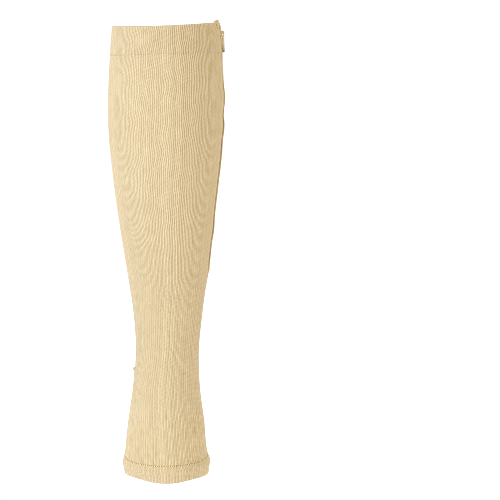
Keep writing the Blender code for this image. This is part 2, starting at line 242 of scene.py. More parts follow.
def add_piece(name, points, faces, material, slot, body="stocking", uv=None):
    """A smooth mesh from points in metres and blocks of faces. Points in one place are joined, points
    that no face uses are dropped, and the faces are turned outwards."""
    mesh = bpy.data.meshes.new(name)
    lists = [face for block in faces for face in block.tolist()]
    mesh.from_pydata(points.reshape(-1, 3).tolist(), [], lists)
    if uv is not None:
        corners = np.concatenate([block.ravel() for block in faces])
        layer = mesh.uv_layers.new(name="knit")
        layer.data.foreach_set("uv", uv.reshape(-1, 2)[corners].ravel().astype(np.float32))
    bm = bmesh.new()
    bm.from_mesh(mesh)
    bmesh.ops.remove_doubles(bm, verts=bm.verts, dist=1e-6)
    bmesh.ops.delete(bm, geom=[v for v in bm.verts if not v.link_faces], context="VERTS")
    bmesh.ops.recalc_face_normals(bm, faces=bm.faces)
    bm.to_mesh(mesh)
    bm.free()
    mesh.polygons.foreach_set("use_smooth", np.ones(len(mesh.polygons), bool))
    mesh.materials.append(material)
    piece = bpy.data.objects.new(name, mesh)
    bpy.context.scene.collection.objects.link(piece)
    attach(piece, body)
    return piece


def rib_relief(columns):
    """Height of the ribs at each column: a rounded top and a narrow foot, 1 - |2u - 1|^roundness."""
    u = np.arange(columns + 1) / POINTS_PER_RIB
    return RIB_FOOT + (RIB_TOP - RIB_FOOT) * (1.0 - np.abs(2.0 * (u % 1.0) - 1.0) ** RIB_ROUNDNESS)


def rounded_edge(distance):
    """How far a cut edge rounds inwards at a distance from it: a quarter circle."""
    inside = 1.0 - np.clip(distance / EDGE_RADIUS, 0.0, 1.0)
    return EDGE_RADIUS * (np.sqrt(1.0 - inside**2) - 1.0)


def cloth_wall(name, z, offset, inner_offset, lift, material, slot):
    """A closed wall of cloth round the leg, ribbed outside and plain inside.

    Each row has a height and an offset for either face, and a lift of three numbers, which raises it
    by rise * x + bow * (1 - (x / reach)^2) - wave * cos(4 angle). The ribs lose depth towards the
    ankle. Rows beside the slit end in lips that round from the outer to the inner face; below the
    slit the two ends meet and are joined."""
    rise, bow, wave = (np.broadcast_to(part, z.shape)[:, None] for part in lift)
    columns = RIBS * POINTS_PER_RIB
    from_lip = np.minimum(np.arange(columns + 1), columns - np.arange(columns + 1)) / POINTS_PER_RIB
    from_lip = from_lip * np.pi * 2 * CALF_WIDTH / RIBS
    open_share = (slit_half_width(z) / SLIT_HALF_WIDTH).clip(0.0, 1.0)[:, None]
    lip = open_share * np.exp(-(from_lip / LIP_WIDTH) ** 2)
    flat = ANKLE_FLAT * np.interp(1.0 - z / FOOT_Z, *np.array(ANKLE_KNIT).T)[:, None]
    ribs = RIB_TOP - (RIB_TOP - rib_relief(columns)) * (1.0 - flat)
    relief = ribs * (1.0 - lip) + lip_roll(z)[:, None] * lip

    def lifted(angle, rows):
        x = leg_point(angle, z[rows, None], 0.0)[..., 0] / MM
        bend = bow[rows] * (1.0 - (x / LIFT_REACH) ** 2) - wave[rows] * np.cos(LIFT_WAVES * angle)
        return z[rows, None] + rise[rows] * x + bend

    every = np.arange(len(z))
    outer_angle = column_angles(z, columns)
    inner_angle = column_angles(z, RIBS)
    outer = leg_point(outer_angle, lifted(outer_angle, every), offset[:, None] + relief)
    inner = leg_point(inner_angle, lifted(inner_angle, every), inner_offset[:, None])
    ids_outer = np.arange(outer[..., 0].size).reshape(outer.shape[:2])
    ids_inner = ids_outer.size + np.arange(inner[..., 0].size).reshape(inner.shape[:2])
    outer_uv = np.broadcast_arrays(np.arange(columns + 1) / POINTS_PER_RIB, z[:, None] / COURSE)
    inner_uv = np.broadcast_arrays(np.arange(RIBS + 1), z[:, None] / COURSE)
    points = [outer.reshape(-1, 3), inner.reshape(-1, 3)]
    uvs = [np.stack(outer_uv, -1).reshape(-1, 2), np.stack(inner_uv, -1).reshape(-1, 2)]
    faces = [grid_faces(ids_outer), grid_faces(ids_inner[:, ::-1])]
    for row in (0, -1):
        starts = ids_outer[row][:-1].reshape(RIBS, POINTS_PER_RIB)
        ends = ids_outer[row][POINTS_PER_RIB::POINTS_PER_RIB, None]
        back = np.stack((ids_inner[row][1:], ids_inner[row][:-1]), -1)
        faces.append(np.concatenate((starts, ends, back), 1))

    open_rows = np.flatnonzero(z > SLIT_END_Z)
    if len(open_rows):
        rows = np.arange(min(open_rows[-1] + 2, len(z)))
        share = open_share[rows, 0]
        for side, end in ((1, 0), (-1, -1)):
            nose = [ids_outer[rows, end]]
            for past, depth in LIP_NOSE:
                y = side * np.maximum(slit_half_width(z[rows]) - past * share, 0.0)
                angle = angle_at(y, z[rows])
                level = lifted(angle[:, None], rows)[:, 0]
                face = depth / KNIT_WALL
                outer_offset = offset[rows] + lip_roll(z[rows])
                depth_here = outer_offset * (1.0 + face) - inner_offset[rows] * face
                nose.append(len(np.concatenate(points)) + np.arange(len(rows)))
                points.append(leg_point(angle, level, depth_here))
                uvs.append(np.stack((np.zeros(len(rows)), z[rows] / COURSE), -1))
            nose.append(ids_inner[rows, end])
            nose = np.stack(nose, 1)
            faces.append(grid_faces(nose))
            faces.append(nose[:1])
            if z[rows[-1]] > SLIT_END_Z:
                faces.append(nose[-1:])
    return add_piece(name, np.concatenate(points), faces, material, slot, uv=np.concatenate(uvs))


def add_node(tree, kind, inputs=(), **settings):
    """Add a shader node, set its options, and set its inputs to a value or link them to a socket."""
    made = tree.nodes.new(kind)
    for option, value in settings.items():
        setattr(made, option, value)
    for key, value in dict(inputs).items():
        if isinstance(value, bpy.types.NodeSocket):
            tree.links.new(value, made.inputs[key])
        else:
            made.inputs[key].default_value = value
    return made


def ramp(tree, factor, stops):
    """A colour ramp through (position, colour) stops."""
    made = add_node(tree, "ShaderNodeValToRGB", {0: factor})
    elements = made.color_ramp.elements
    elements[0].position, elements[1].position = stops[0][0], stops[-1][0]
    for _ in stops[1:-1]:
        elements.new(0.5)
    for element, (position, colour) in zip(elements, stops):
        element.position = position
        element.color = (*colour, 1.0)
    return made.outputs["Color"]


def maths(tree, operation, *terms):
    """One sum on values or sockets. A term that is itself (operation, terms) is worked out first."""
    values = [maths(tree, *term) if isinstance(term, tuple) else term for term in terms]
    return add_node(tree, "ShaderNodeMath", dict(enumerate(values)), operation=operation).outputs[0]


def times(tree, first, second):
    """The product of two colours or vectors, part by part."""
    return add_node(tree, "ShaderNodeVectorMath", {0: first, 1: second}, operation="MULTIPLY").outputs[0]


def noise(tree, scale, detail, place=None):
    """Soft noise from 0 to 1 over a place, or over the piece in metres."""
    if place is None:
        place = add_node(tree, "ShaderNodeTexCoord").outputs["Object"]
    settings = {"Vector": place, "Scale": scale, "Detail": detail}
    return add_node(tree, "ShaderNodeTexNoise", settings).outputs["Fac"]


def share_up(tree, low, high):
    """How far up a spot lies between two heights in millimetres, from 0 to 1."""
    place = add_node(tree, "ShaderNodeTexCoord").outputs["Object"]
    height = add_node(tree, "ShaderNodeSeparateXYZ", {0: place}).outputs["Z"]
    limits = {"Value": height, "From Min": low * MM, "From Max": high * MM}
    return add_node(tree, "ShaderNodeMapRange", limits).outputs[0]


def start_material(name):
    """A new material and its node tree."""
    material = bpy.data.materials.new(name)
    material.use_nodes = True
    return material, material.node_tree


def finish_material(tree, colour, relief, finish, depth):
    """Give the shader a colour, a bump of the relief, depth millimetres high, and its finish."""
    shader = tree.nodes["Principled BSDF"]
    bump = add_node(tree, "ShaderNodeBump", {"Height": relief, "Distance": depth * MM})
    tree.links.new(colour, shader.inputs["Base Color"])
    tree.links.new(bump.outputs["Normal"], shader.inputs["Normal"])
    for setting, value in finish.items():
        shader.inputs[setting].default_value = value


# Colours of the foot, side and top of a rib, and their heights on it. The darker foot is partly the
# yarn's own colour and partly painted shade in the narrow grooves between the ribs.
LEG_YARN_AND_GROOVE_SHADE = ((0.585, 0.455, 0.249), (0.74, 0.614, 0.396), (0.815, 0.692, 0.47))
YARN_HEIGHTS = (0.0, 0.42, 0.85)
# The yarn's shade, and how much it changes by each of the sources that knit_material works out
KNIT_SHADE = 0.83
SHADE_CHANGES = {"paired": 0.08, "filled": 0.62, "uneven": 0.08, "streaks": 0.28, "loop": 0.10,
                 "smooth": -0.037, "fibres": 0.36, "patches": 0.10}
WARM_SHADE = (0.84, 0.97, 1.27)     # darker yarn is a warmer brown: how much each colour takes part
# Share of the way up the leg, then how far the fuzz lies flat there
FOOT_KNIT = ((0.0, 0.1), (0.036, 0.1), (0.05, 1.0), (0.13, 0.9), (0.2, 0.0))
LAID_FUZZ = 0.6         # share of the fuzz that is lost where it lies quite flat
LAID_STREAKS = 1.2      # how much stronger the streaks are there
PAIRED = 0.4            # share of the pairing of ribs that shows away from the ankle
ANKLE_UNEVEN = 0.3      # how much more the yarns differ at the ankle
STREAK_SHAPE = (1.3, 0.13, 1.0)     # spots to a rib, and to a row of loops
FIBRE_SCALE = 1150.0
PATCH_SCALE = 22.0
LOOP_SLANT = 1.1        # rows of loops that a loop's leg spans, per rib
FIBRE_BUMP = 0.8        # height of the fibres beside that of the loops
KNIT_FINISH = {"Roughness": 0.88, "Specular IOR Level": 0.25, "Sheen Weight": 0.42,
               "Sheen Roughness": 0.45, "Sheen Tint": (0.97, 0.98, 1.0, 1.0)}


def knit_material(name, yarn_and_groove_shade):
    """Rib knit that reads the piece's knit map, whose u counts ribs and v counts rows of loops.

    The colour follows the rib from its foot to its top; the darker foot is partly the yarn's own colour
    and partly painted shade in the grooves. It is multiplied by a shade. The shade changes with the
    loops up the rib, whose rows climb round the leg, from yarn to yarn, in streaks along each rib, in
    soft patches and in a fuzz of fibres. Towards the ankle, where the knit is less stretched, the ribs
    draw together in pairs: each other one is darker, the grooves are filled, so that the painted shade
    in them is evened out against the rib tops, and the yarns differ more. Above the hem the fuzz lies
    flat and the streaks show more, and the yarn is painted a little darker there, as painted shade in
    place of the shading that the fuzz's bump gives higher up. Darker shades are warmer. The bump is two
    slanted legs to each loop, under the fuzz."""
    material, tree = start_material(name)
    knit = add_node(tree, "ShaderNodeUVMap", uv_map="knit").outputs["UV"]
    split = add_node(tree, "ShaderNodeSeparateXYZ", {0: knit}).outputs
    up_leg = share_up(tree, FOOT_Z, 0.0)
    ankle, smooth = (ramp(tree, up_leg, [(share, (amount,) * 3) for share, amount in rows])
                     for rows in (ANKLE_KNIT, FOOT_KNIT))
    from_top = maths(tree, "ABSOLUTE", ("SUBTRACT", ("FRACT", split["X"]), 0.5))
    rib_height = maths(tree, "SUBTRACT", 1.0, ("MULTIPLY", from_top, 2.0))
    colour = ramp(tree, rib_height, tuple(zip(YARN_HEIGHTS, yarn_and_groove_shade)))
    yarn = add_node(tree, "ShaderNodeTexWhiteNoise", {"W": maths(tree, "FLOOR", split["X"])},
                    noise_dimensions="1D").outputs["Value"]
    every_other = maths(tree, "SINE", ("MULTIPLY", split["X"], np.pi))
    streak = noise(tree, 1.0, detail=1.0, place=times(tree, knit, STREAK_SHAPE))
    fibre = noise(tree, FIBRE_SCALE, detail=2.0)
    fuzzy = maths(tree, "SUBTRACT", 1.0, ("MULTIPLY", smooth, LAID_FUZZ))
    climb = maths(tree, "MULTIPLY", split["X"], COURSES_PER_TURN / RIBS)
    slant = maths(tree, "ADD", ("MULTIPLY", from_top, LOOP_SLANT), climb)
    loop = maths(tree, "SINE", ("MULTIPLY", ("FRACT", ("ADD", split["Y"], slant)), np.pi))
    sources = {
        "paired": maths(tree, "MULTIPLY", every_other, ("ADD", PAIRED, ankle)),
        # Lightens the painted shade at the rib feet and darkens the rib tops where the ribs draw
        # together.
        "filled": maths(tree, "MULTIPLY", ("SUBTRACT", 0.5, rib_height), ankle),
        "uneven": maths(tree, "MULTIPLY", ("SUBTRACT", yarn, 0.5),
                        ("ADD", 1.0, ("MULTIPLY", ankle, ANKLE_UNEVEN))),
        "streaks": maths(tree, "MULTIPLY", ("SUBTRACT", streak, 0.5),
                         ("ADD", 1.0, ("MULTIPLY", smooth, LAID_STREAKS))),
        "loop": loop,
        # Painted shade: a slight darkening above the hem in place of the shading that the flattened fuzz
        # no longer gives.
        "smooth": smooth,
        "fibres": maths(tree, "MULTIPLY", ("SUBTRACT", fibre, 0.5), fuzzy),
        "patches": noise(tree, PATCH_SCALE, detail=2.0),
    }
    shade = KNIT_SHADE
    for source, amount in SHADE_CHANGES.items():
        shade = maths(tree, "ADD", ("MULTIPLY", sources[source], amount), shade)
    warm = add_node(tree, "ShaderNodeVectorMath", {0: maths(tree, "SUBTRACT", shade, 1.0), 1: WARM_SHADE,
                                                   2: (1.0, 1.0, 1.0)}, operation="MULTIPLY_ADD")
    relief = maths(tree, "MULTIPLY", fuzzy, ("ADD", loop, ("MULTIPLY", fibre, FIBRE_BUMP)))
    finish_material(tree, times(tree, colour, warm.outputs[0]), relief, KNIT_FINISH, depth=0.14)
    return material


leg_top = BAND_SEAM_Z - SEAM_HALF_GAP
leg_foot = HEM_SEAM_Z + SEAM_HALF_GAP
leg_z = np.concatenate((
    leg_top - EDGE_ROWS,
    np.arange(leg_top - LEG_ROW_STEP, SLIT_END_Z + 2 * SLIT_TAPER, -LEG_ROW_STEP),
    SLIT_END_Z + SLIT_TAPER * SLIT_END_ROWS,
    np.arange(SLIT_END_Z - LEG_ROW_STEP, CREASE_Z + LEG_ROW_STEP, -LEG_ROW_STEP),
    CREASE_Z + CREASE_ROWS,
    np.arange(CREASE_Z - BELOW_CREASE * LEG_ROW_STEP, leg_foot + LAST_ROW_GAP, -LEG_ROW_STEP),
    (leg_foot + EDGE_ROWS)[::-1],
))
leg_edge = rounded_edge(np.minimum(leg_top - leg_z, leg_z - leg_foot))
leg_rise = np.interp(leg_z, (CALF_Z, BAND_SEAM_Z), (0.0, BAND_SEAM_RISE))
leg_bow = np.interp(leg_z, (CALF_Z, BAND_SEAM_Z), (0.0, BAND_SEAM_BOW))
leg_tube = cloth_wall("ribbed_leg", leg_z, leg_edge, np.full(len(leg_z), -KNIT_WALL),
                      (leg_rise, leg_bow, 0.0), knit_material("rib_knit", LEG_YARN_AND_GROOVE_SHADE), "rib_knit")
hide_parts("leg_tube")

# ---- Top band ----
# A doubled band of the same rib knit, folded over at the top edge so that it grips below the knee.
# Its lower edge stands a little proud of the leg, and is sewn down with a row of small stitches.

TOP_FOLD_RADIUS = 0.9
TOP_EDGE_RISE = 0.036
TOP_EDGE_BOW = -1.2
BAND_PROUD = 0.14
BAND_ROWS = 9
FOLD_ROWS = 6
CUT_ROWS = EDGE_ROWS[:3]
PLAIN_GAP = 1.0         # from the rows at the cut edge, and at this fold, to the plain rows
# The band's rib colours: their darker foot is likewise partly painted shade in the grooves.
BAND_YARN_AND_GROOVE_SHADE = ((0.575, 0.447, 0.246), (0.735, 0.608, 0.392), (0.805, 0.682, 0.465))


def doubled_band(seam, fold, radius, gap, rows, bulge):
    """Heights of a doubled band's rows, from its cut edge at the seam to its fold, and the offsets of
    its outer and inner face there. The outer one follows the bulge, rows of (z, offset), rounds in at
    the cut edge, and turns in by a quarter circle at the fold, where the inner one comes to meet it."""
    way = np.sign(fold - seam)
    turn = np.linspace(0.0, np.pi / 2, FOLD_ROWS)
    plain = np.linspace(seam + way * PLAIN_GAP, fold - way * (radius + gap), rows)
    z = np.concatenate((seam + way * CUT_ROWS, plain, fold - way * radius * (1.0 - np.sin(turn))))
    outer = np.interp(z, *np.array(bulge).T)
    inner = np.full(len(z), -KNIT_WALL)
    inner[-FOLD_ROWS:] += (KNIT_WALL + outer[-1] - radius) * (1.0 - np.cos(turn))
    outer[:len(CUT_ROWS)] += rounded_edge(CUT_ROWS)
    outer[-FOLD_ROWS:] -= radius * (1.0 - np.cos(turn))
    return z, outer, inner


band_foot = BAND_SEAM_Z + SEAM_HALF_GAP
band_bulge = ((BAND_SEAM_Z, BAND_PROUD), (0.0, BAND_PROUD))
band_z, band_outer, band_inner = doubled_band(band_foot, 0.0, TOP_FOLD_RADIUS, PLAIN_GAP, BAND_ROWS,
                                              band_bulge)
band_rise = np.interp(band_z, (BAND_SEAM_Z, 0.0), (BAND_SEAM_RISE, TOP_EDGE_RISE))
band_bow = np.interp(band_z, (BAND_SEAM_Z, 0.0), (BAND_SEAM_BOW, TOP_EDGE_BOW))
top_band = cloth_wall("top_band_cloth", band_z, band_outer, band_inner, (band_rise, band_bow, 0.0),
                      knit_material("band_knit", BAND_YARN_AND_GROOVE_SHADE), "band_knit")
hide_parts("top_band")


def leg_frames(angle, z, offset):
    """Points on the leg, and there the unit directions round the leg, up it and out of it."""
    turn, rise = 1e-3, 0.1      # radians and millimetres, over which the directions are found
    place = leg_point(angle, z, offset)
    around = leg_point(angle + turn, z, offset) - leg_point(angle - turn, z, offset)
    up = leg_point(angle, z + rise, offset) - leg_point(angle, z - rise, offset)
    around /= np.linalg.norm(around, axis=-1, keepdims=True)
    up /= np.linalg.norm(up, axis=-1, keepdims=True)
    return place, around, up, np.cross(around, up)


def laid(frames, parts):
    """Points of a shape in millimetres, laid at each place along the three directions there."""
    place, *directions = frames
    moves = (part.ravel()[:, None] * MM * direction[..., None, :]
             for part, direction in zip(parts, directions))
    return sum(moves, place[..., None, :])


GRAIN_GRID = (6, 7)     # points along a stitch and round it


def sewn_row(name, frames, size, material, slot, lean=0.0):
    """A row of stitches whose size is length L, width W and height H. Each is a grain of thread,
    x = L/2 cos(a), y = W/2 sin(a) cos(b) and z = H/2 sin(a) sin(b), laid along the seam and turned by
    lean radians on the cloth."""
    length, width, height = size
    a = np.linspace(0.0, np.pi, GRAIN_GRID[0])[:, None]
    b = np.linspace(0.0, 2 * np.pi, GRAIN_GRID[1])[None, :]
    x = np.broadcast_to(length / 2 * np.cos(a), GRAIN_GRID)
    y = width / 2 * np.sin(a) * np.cos(b)
    z = height / 2 * np.sin(a) * np.sin(b)
    x, y = x * np.cos(lean) - y * np.sin(lean), x * np.sin(lean) + y * np.cos(lean)
    quads = grid_faces(np.arange(x.size).reshape(GRAIN_GRID))
    faces = (quads[None] + x.size * np.arange(len(frames[0]))[:, None, None]).reshape(-1, 4)
    return add_piece(name, laid(frames, (x, y, z)), [faces], material, slot)


def thread_material(name, colour, dark):
    """Twisted sewing thread: fine slanted twist in colour and bump, over a soft sheen."""
    material, tree = start_material(name)
    place = add_node(tree, "ShaderNodeTexCoord").outputs["Object"]
    twist = add_node(tree, "ShaderNodeTexWave", {"Vector": place, "Scale": 900.0, "Distortion": 1.5},
                     bands_direction="DIAGONAL").outputs["Fac"]
    colours = ramp(tree, twist, ((0.0, dark), (0.6, colour)))
    finish_material(tree, colours, twist, {"Roughness": 0.6, "Sheen Weight": 0.3}, depth=0.05)
    return material


BAND_STITCHES = 110
BAND_STITCH = (1.0, 0.55, 0.4)
BAND_STITCH_RISE = 0.35
BAND_STITCH_OUT = 0.3
BAND_STITCH_START = 1.6     # from the slit

band_thread = thread_material("band_thread", (0.62, 0.48, 0.28), (0.48, 0.35, 0.18))
stitch_start = angle_at(SLIT_HALF_WIDTH + BAND_STITCH_START, BAND_SEAM_Z)
stitch_angle = np.linspace(stitch_start, 2 * np.pi - stitch_start, BAND_STITCHES)
stitch_z = BAND_SEAM_Z + BAND_STITCH_RISE
stitch_x = leg_point(stitch_angle, stitch_z, 0.0)[:, 0] / MM
stitch_bow = BAND_SEAM_BOW * (1.0 - (stitch_x / LIFT_REACH) ** 2)
stitch_level = stitch_z + BAND_SEAM_RISE * stitch_x + stitch_bow
stitch_frames = leg_frames(stitch_angle, stitch_level, BAND_PROUD + BAND_STITCH_OUT)
band_seam = sewn_row("band_seam_stitches", stitch_frames, BAND_STITCH, band_thread, "band_knit")

# ---- Hem band ----
# The open toe end is turned in and doubled, and sewn with a row of bright stitches over a lower thread
# between them, whose very dark brown is painted shadow of the needle holes. They pull the knit in, so
# that the hem stands out under them and rounds over at the bottom.

HEM_EDGE_Z = -428.2
HEM_FOLD_RADIUS = 1.5
HEM_FOLD_GAP = 0.8      # from the rows at the fold to the plain rows
HEM_EDGE_WAVE = 0.9
HEM_EDGE_RISE = -0.014
HEM_ROWS = 11
# Height, then how far the hem's outer face stands out there
HEM_BULGE = ((-432.0, 0.1), (HEM_EDGE_Z, 0.2), (-425.0, 0.3), (-422.0, 0.6), (-419.8, 1.6),
             (-416.5, 1.7), (-414.2, 0.9), (-412.5, 0.4))
HEM_STITCHES = 127
HEM_STITCH = (1.5, 1.0, 0.7)
LOWER_STITCH = (1.2, 1.0, 0.6)
HEM_STITCH_OUT = 0.6

hem_top = HEM_SEAM_Z - SEAM_HALF_GAP
hem_z, hem_outer, hem_inner = doubled_band(hem_top, HEM_EDGE_Z, HEM_FOLD_RADIUS, HEM_FOLD_GAP,
                                           HEM_ROWS, HEM_BULGE)
hem_share = np.interp(hem_z, (HEM_EDGE_Z, HEM_SEAM_Z), (1.0, 0.0))
hem_lift = (HEM_EDGE_RISE * hem_share, 0.0, HEM_EDGE_WAVE * hem_share)
hem_band = cloth_wall("hem_band_cloth", hem_z, hem_outer, hem_inner, hem_lift,
                      knit_material("hem_knit", LEG_YARN_AND_GROOVE_SHADE), "hem_knit")
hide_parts("hem_band")
hem_thread = thread_material("hem_thread", (0.96, 0.79, 0.43), (0.88, 0.67, 0.31))
# The lower thread's near-black brown is painted shadow of the needle holes between the stitches.
shadowed_lower_thread = thread_material("hem_shadowed_lower_thread", (0.33, 0.21, 0.075), (0.22, 0.13, 0.05))
stitch_angle = np.linspace(0.0, 2 * np.pi, HEM_STITCHES, endpoint=False)
between = stitch_angle + np.pi / HEM_STITCHES
hem_seam = sewn_row("hem_seam_stitches", leg_frames(stitch_angle, HEM_SEAM_Z, HEM_STITCH_OUT),
                    HEM_STITCH, hem_thread, "hem_knit")
hem_lower = sewn_row("hem_shadowed_lower_thread", leg_frames(between, HEM_SEAM_Z, HEM_STITCH_OUT),
                     LOWER_STITCH, shadowed_lower_thread, "hem_knit")

# ---- Zip tapes ----
# Two woven tapes sewn under the slit's lips. Each has a close plain weave with a firm edge, and its
# cut end stands up above the band at a slant.

SIDES = ((-1, "front"), (1, "back"))    # of the zip, towards the shin and towards the calf
TAPE_FACE = -1.65
TAPE_THICKNESS = 0.8
TAPE_WIDTH = 13.0
TAPE_TIP = 4.1
TAPE_TIP_OUTER = 2.8
TAPE_FOOT = -247.0
# Height, then how far each tape's edge lies from the zip's middle
TAPE_PARTING = np.array(((-12.0, 0.15), (-8.7, 0.9), (-2.2, 0.9), (5.0, 1.0)))
TIP_LEAN = 2.1          # the cut end leans out of the slit by this, between these two heights
TIP_LEAN_ROWS = (-2.4, 1.2)
TIP_LEAN_REACH = 2.7
# Height, then how far the closed chain stands out: it is pressed in behind the pull tab
CHAIN_RISE = np.array(((-90.0, 0.25), (-52.0, 0.0), (-44.0, 0.0), (-30.0, -0.55), (-14.5, -0.55),
                       (-9.5, 0.0)))
CHAIN_RISE_REACH = 2.3
TAPE_ROWS = 64
ROW_CROWDING = 1.6      # powers that crowd the rows to the top and the columns to the chain
TAPE_COLUMNS = 9
COLUMN_CROWDING = 1.3


def zip_parting(z):
    """How far each tape's edge lies from the zip's middle: closed below the slider, open above it."""
    return np.interp(z, *TAPE_PARTING.T)


def chain_rise(z):
    """How far the closed chain is pushed out of the slit, or pressed into it, at heights z."""
    return np.interp(z, *CHAIN_RISE.T)


def beside_zip(y, z, offset):
    """Points of the leg at a distance y from the zip's middle."""
    return leg_point(angle_at(y, z), z, offset)


def zip_tape(name, side, material):
    """One tape: a thin closed strip, its edges rounded, carried down the slit behind its lip. Its top
    row slants down from the chain to the outer edge, and leans out by a smooth step along z and a
    bell across y. Lower down its inner edge follows the chain out and in, by a bell across y."""
    share = np.linspace(0.0, 1.0, TAPE_COLUMNS) ** COLUMN_CROWDING
    down = np.linspace(0.0, 1.0, TAPE_ROWS)[:, None] ** ROW_CROWDING
    top = TAPE_TIP + (TAPE_TIP_OUTER - TAPE_TIP) * share
    z = top + (TAPE_FOOT - top) * down
    edge = zip_parting(z)
    y = side * (edge + (TAPE_WIDTH - edge) * share)
    standing = np.interp(z, TIP_LEAN_ROWS, (0.0, 1.0))
    out = TAPE_FACE + TIP_LEAN * standing**2 * (3 - 2 * standing) * np.exp(-(y / TIP_LEAN_REACH) ** 2)
    out = out + chain_rise(z) * np.exp(-(y / CHAIN_RISE_REACH) ** 2)
    face = beside_zip(y, z, out)
    back = beside_zip(y, z, out - TAPE_THICKNESS)
    half = beside_zip(y, z, out - TAPE_THICKNESS / 2)
    loop = np.concatenate((half[:, :1], face[:, 1:-1], half[:, -1:], back[:, -2:0:-1], half[:, :1]), 1)
    ids = np.arange(loop[..., 0].size).reshape(loop.shape[:2])
    ends = [ids[:1, :-1], ids[-1:, :-1]]
    across = np.concatenate((share, share[-2::-1])) * TAPE_WIDTH
    uv = np.stack(np.broadcast_arrays(across, z[:, :1]), -1)
    return add_piece(name, loop, [grid_faces(ids), *ends], material, "zip_tape", uv=uv)


def tape_material():
    """Plain woven polyester: crossed waves of warp and weft in the colour and the bump."""
    material, tree = start_material("tape_weave")
    weave = add_node(tree, "ShaderNodeUVMap", uv_map="knit").outputs["UV"]
    warp = add_node(tree, "ShaderNodeTexWave", {"Vector": weave, "Scale": 0.55}).outputs["Fac"]
    weft = add_node(tree, "ShaderNodeTexWave", {"Vector": weave, "Scale": 0.42},
                    bands_direction="Y").outputs["Fac"]
    cloth = maths(tree, "MULTIPLY", ("ADD", warp, weft), 0.5)
    colour = ramp(tree, cloth, ((0.1, (0.68, 0.55, 0.36)), (0.8, (0.82, 0.70, 0.50))))
    finish_material(tree, colour, cloth, {"Roughness": 0.75, "Sheen Weight": 0.15}, depth=0.1)
    return material


tape_weave = tape_material()
for side, which in SIDES:
    tape = zip_tape(f"woven_tape_{which}", side, tape_weave)
    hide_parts(f"zip_tape_{which}")

# ---- Zip coil ----
# Each tape carries a coil of golden-brown nylon wire over a filler cord. The two coils lie half a
# turn apart, so that the loops of one lie between the loops of the other where the zip is closed.

COIL_TOP = -2.6
COIL_FOOT = -233.2
COIL_PITCH = 1.5
COIL_WIRE = 0.35
COIL_REACH = 2.6
COIL_OVERLAP = 0.35
COIL_MIDDLE = -0.12
COIL_HALF_HEIGHT = 1.05
STEPS_PER_TURN = 12
WIRE_SIDES = 6
CORD_RADIUS = 0.42
CORD_ROWS = 90
CORD_SIDES = 8
UPRIGHT = 0.3           # a wire runs upright where the sine of its angle from +Z is less


def wire(path, radius, sides):
    """A closed round wire along a path: circles across it, on axes found from its run and from +Z, or
    from +X where it runs upright."""
    run = np.gradient(path, axis=0)
    run /= np.linalg.norm(run, axis=1, keepdims=True)
    first = np.cross(run, (0.0, 0.0, 1.0))
    upright = np.linalg.norm(first, axis=1) < UPRIGHT
    first[upright] = np.cross(run[upright], (1.0, 0.0, 0.0))
    first /= np.linalg.norm(first, axis=1, keepdims=True)
    second = np.cross(run, first)
    turn = np.linspace(0.0, 2 * np.pi, sides + 1)[:-1]
    circle = np.cos(turn)[None, :, None] * first[:, None] + np.sin(turn)[None, :, None] * second[:, None]
    points = path[:, None] + radius * MM * circle
    ids = np.arange(len(path) * sides).reshape(len(path), sides)
    closed = np.concatenate((ids, ids[:, :1]), 1)
    return points.reshape(-1, 3), [grid_faces(closed), ids[:1], ids[-1:]]


def zip_coil(name, side, material):
    """A flattened helix: y and the offset go round an oval while z falls by a pitch each turn. The
    filler cord runs straight down inside it."""
    turns = (COIL_TOP - COIL_FOOT) / COIL_PITCH - 0.5
    phase = np.linspace(0.0, 2 * np.pi * turns, int(turns * STEPS_PER_TURN))
    z = COIL_TOP - COIL_PITCH * (phase / (2 * np.pi) + (0.5 if side > 0 else 0.0))
    inner = zip_parting(z) - COIL_OVERLAP
    middle = (inner + COIL_REACH + zip_parting(z)) / 2
    y = side * (middle - (middle - inner) * np.cos(phase))
    offset = COIL_MIDDLE + chain_rise(z) + COIL_HALF_HEIGHT * np.sin(phase)
    helix, helix_faces = wire(beside_zip(y, z, offset), COIL_WIRE, WIRE_SIDES)
    cord_z = np.linspace(COIL_TOP, COIL_FOOT, CORD_ROWS)
    cord_y = side * (zip_parting(cord_z) + COIL_REACH / 2)
    cord_path = beside_zip(cord_y, cord_z, COIL_MIDDLE + chain_rise(cord_z))
    cord, cord_faces = wire(cord_path, CORD_RADIUS, CORD_SIDES)
    faces = helix_faces + [block + len(helix) for block in cord_faces]
    return add_piece(name, np.concatenate((helix, cord)), faces, material, "zip_tape")


def coil_material():
    """Golden-brown nylon with a half gloss, lighter and darker in soft patches along the coil."""
    material, tree = start_material("coil_nylon")
    grain = noise(tree, scale=110.0, detail=2.0)
    colour = ramp(tree, grain, ((0.36, (0.55, 0.42, 0.18)), (0.64, (0.78, 0.62, 0.31))))
    finish_material(tree, colour, grain, {"Roughness": 0.42}, depth=0.03)
    return material


coil_nylon = coil_material()
for side, which in SIDES:
    zip_coil(f"zip_coil_{which}", side, coil_nylon)

# ---- Zip stops ----
# A small pressed clamp closes the top of each coil, and a wider one holds both coils together at the
# lower end, where a short bar of close stitches is sewn across the tapes.

STOP_ROUNDNESS = 4.0
STOP_GRID = (13, 25)
TOP_STOP = (1.45, 1.25, 1.1)       # half width, half depth, half height
BOTTOM_STOP = (2.7, 1.2, 1.5)
BAR_STITCHES = 14
BAR_STITCH = (2.4, 0.55, 0.6)
BAR_OVERHANG = 0.8      # past the slit, on either side
BAR_DROP = 1.2          # below the slit's end


def squared(wave, roundness):
    """A sine or cosine as a superellipse has it: sign(v) |v|^(2 / roundness)."""
    return np.sign(wave) * np.abs(wave) ** (2.0 / roundness)


